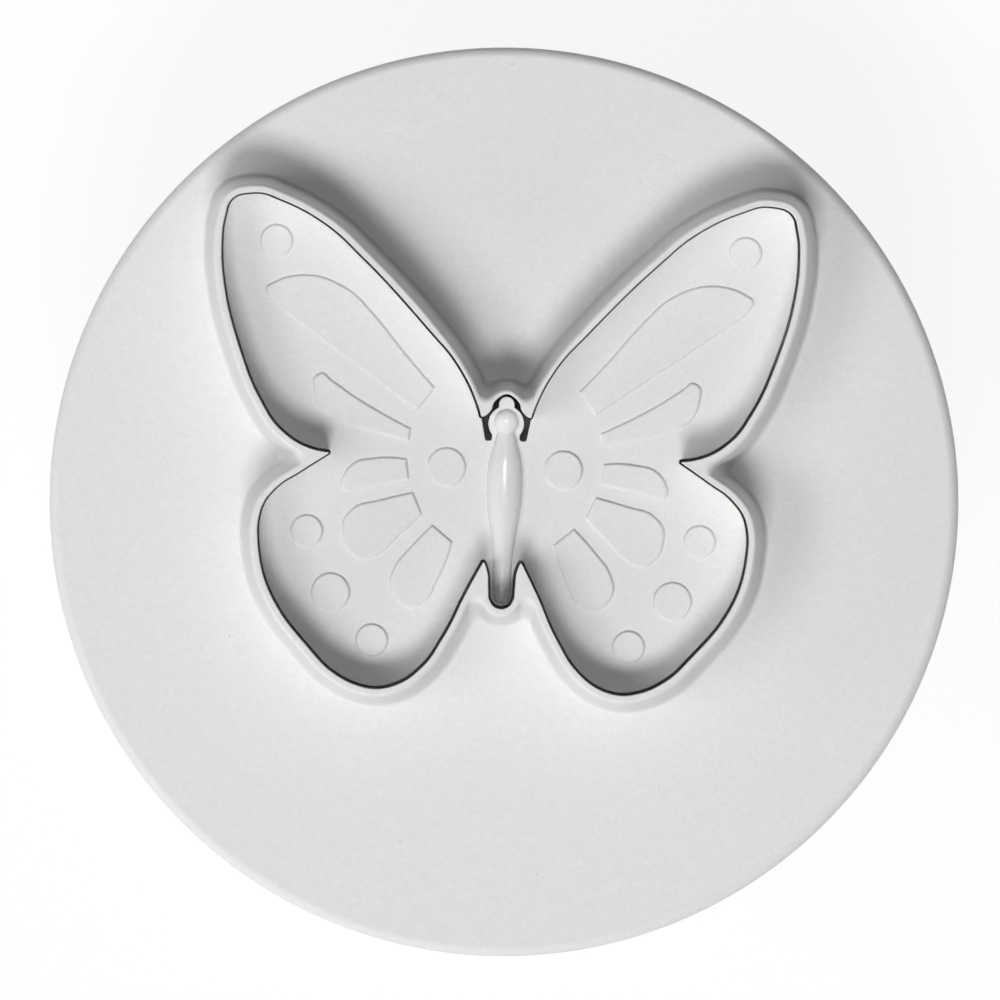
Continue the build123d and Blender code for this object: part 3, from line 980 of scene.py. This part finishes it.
def spring_point(turn, first, open_pitch):
    """The wire's middle after so many turns from the height of its first end."""
    opened = min(max(turn - END_TURNS, 0), OPEN_TURNS)
    height = first + (turn - opened) * END_PITCH + opened * open_pitch
    angle = 2 * math.pi * turn
    return Vector((COIL_RADIUS * math.cos(angle), COIL_RADIUS * math.sin(angle), height))


def make_spring(material):
    """The wire as a round tube along its whole helix, with cut ends."""
    turns = 2 * END_TURNS + OPEN_TURNS
    first = SPRING_LOW + SEAT_GAP + WIRE_RADIUS
    last = SPRING_HIGH - SEAT_GAP - WIRE_RADIUS
    open_pitch = (last - first - 2 * END_TURNS * END_PITCH) / OPEN_TURNS
    count = turns * STEPS_A_TURN
    line = [spring_point(turns * step / count, first, open_pitch) for step in range(count + 1)]
    vertices, faces = [], []
    for step, point in enumerate(line):
        before, after = line[max(step - 1, 0)], line[min(step + 1, count)]
        along = (after - before).normalized()
        outward = Vector((point.x, point.y, 0)).normalized()
        outward = (outward - along * outward.dot(along)).normalized()
        other = along.cross(outward)
        for side in range(WIRE_SIDES):
            angle = 2 * math.pi * side / WIRE_SIDES
            offset = outward * math.cos(angle) + other * math.sin(angle)
            vertices.append((point + offset * WIRE_RADIUS) * MM)
    for step in range(count):
        for side in range(WIRE_SIDES):
            a = step * WIRE_SIDES + side
            b = step * WIRE_SIDES + (side + 1) % WIRE_SIDES
            faces.append((a, b, b + WIRE_SIDES, a + WIRE_SIDES))
    faces.append(tuple(reversed(range(WIRE_SIDES))))
    faces.append(tuple(range(count * WIRE_SIDES, (count + 1) * WIRE_SIDES)))
    mesh = bpy.data.meshes.new("spring_wire_coil")
    mesh.from_pydata(vertices, [], faces)
    for polygon in mesh.polygons:
        polygon.use_smooth = len(polygon.vertices) == 4
    mesh.materials.append(material)
    coil = bpy.data.objects.new("spring_wire_coil", mesh)
    bpy.context.scene.collection.objects.link(coil)
    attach(coil, "cutter")
    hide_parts("return_spring")
    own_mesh(coil)


# ---------------------------------------------------------------- stage, light and camera

def add_floor():
    mesh = bpy.data.meshes.new("floor")
    half, level = FLOOR_HALF_WIDTH, -FLOOR_GAP * MM
    mesh.from_pydata([(-half, -half, level), (half, -half, level), (half, half, level), (-half, half, level)],
                     [], [(0, 1, 2, 3)])
    mesh.materials.append(floor_material())
    floor = bpy.data.objects.new("floor", mesh)
    bpy.context.scene.collection.objects.link(floor)


def add_lamp(name, azimuth, elevation, width, height, strength, glossy, diffuse):
    """A soft lamp that the camera doesn't see, turned to the middle of the disc."""
    turn, rise = math.radians(azimuth), math.radians(elevation)
    way = Vector((math.cos(rise) * math.cos(turn), math.cos(rise) * math.sin(turn), math.sin(rise)))
    light = bpy.data.lights.new(name, "AREA")
    light.shape = "RECTANGLE"
    light.size = width
    light.size_y = height
    light.energy = strength * (math.pi * LAMP_DISTANCE) ** 2
    lamp = bpy.data.objects.new(name, light)
    bpy.context.scene.collection.objects.link(lamp)
    lamp.location = Vector((0, 0, PLATE_TOP * MM)) + way * LAMP_DISTANCE
    lamp.rotation_mode = "QUATERNION"
    lamp.rotation_quaternion = way.to_track_quat("Z", "Y")
    lamp.visible_camera = False
    lamp.visible_glossy = glossy
    lamp.visible_diffuse = diffuse


def set_world():
    """A dim, even light from all round, and plain white where the camera sees past the floor."""
    world = bpy.data.worlds.new("studio")
    bpy.context.scene.world = world
    world.use_nodes = True
    tree = Tree(world)
    tree.nodes.clear()
    ambient = tree.add("Background", None, Color=rgba((1.0, 1.0, 1.0)), Strength=AMBIENT)
    white = tree.add("Background", None, Color=rgba((1.0, 1.0, 1.0)), Strength=1.0)
    tree.finish(tree.mix_shaders(tree.seen_direct(), ambient, white), "OutputWorld")


def add_camera():
    """Looks straight down on the cutting edge from far away, turned as the photograph is."""
    camera = bpy.data.cameras.new("camera")
    camera.sensor_width = SENSOR_WIDTH
    camera.lens = SENSOR_WIDTH * CAMERA_DISTANCE / FRAME_WIDTH
    camera.clip_start = 0.01
    camera.clip_end = 100.0
    eye = bpy.data.objects.new("camera", camera)
    bpy.context.scene.collection.objects.link(eye)
    eye.location = (*CAMERA_PLACE, CUTTING_EDGE * MM + CAMERA_DISTANCE)
    eye.rotation_euler = (0.0, 0.0, math.radians(CAMERA_TURN))
    bpy.context.scene.camera = eye


# ---------------------------------------------------------------- build

cavity = butterfly(HEAD_BUMP, WING_ROOT)
# The cutter's and the embosser's plastic get painted shade in the gap round the plate
make_cutter(cavity, moulded_plastic("cutter_plastic", DISC_WHITE, roughness=0.5, specular=0.35,
                                    rings=RINGS, specks=SPECKS, painted_gap_shade=True))
make_embosser(cavity, moulded_plastic("embosser_plastic", PLATE_WHITE, roughness=0.5, specular=0.35, painted_gap_shade=True),
              moulded_plastic("polished_plastic", PLATE_WHITE, roughness=0.22, specular=0.5, relief=0.004))
make_knob(moulded_plastic("knob_plastic", DISC_WHITE, roughness=0.42, specular=0.4))
make_spring(drawn_steel())
add_floor()
for name, lamp in LAMPS.items():
    add_lamp(name, *lamp)
set_world()
add_camera()
bpy.context.scene.view_settings.view_transform = "Standard"
